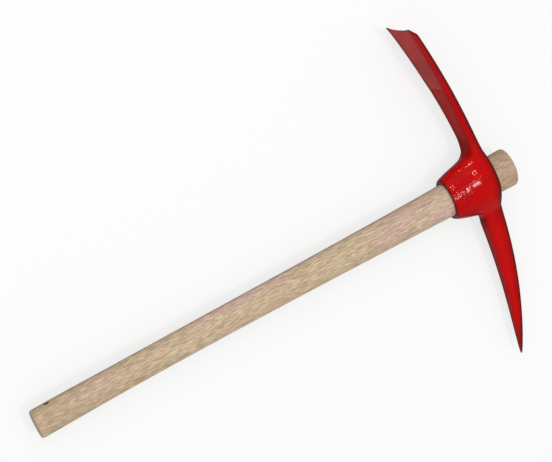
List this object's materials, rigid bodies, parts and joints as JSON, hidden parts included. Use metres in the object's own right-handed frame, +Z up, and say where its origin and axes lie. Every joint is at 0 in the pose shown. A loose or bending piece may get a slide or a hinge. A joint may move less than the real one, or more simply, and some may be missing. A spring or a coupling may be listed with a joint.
{
  "type": "pick mattock",
  "caption": "Pick mattock: a red forged head with a flat cutting blade and a tapered point, slipped over a flared oval ash handle that stands out beyond the eye.",
  "frame": {"origin": "centre of the handle's flat butt face", "axes": "+X along the handle towards the head, +Y towards the flat blade, +Z up with the tool lying on its side"},
  "size_m": [0.9, 0.613, 0.084],
  "materials": {
    "ash_wood": "satin",
    "red_paint": "gloss"
  },
  "bodies": {
    "handle": {"ash_handle": "ash_wood"},
    "head": {"forged_head": "red_paint"}
  },
  "joints": [
    {"name": "head_slide", "type": "slide", "parent": "handle", "child": "head", "axis": [-1, 0, 0], "range_m": [0, 0.89]}
  ]
}
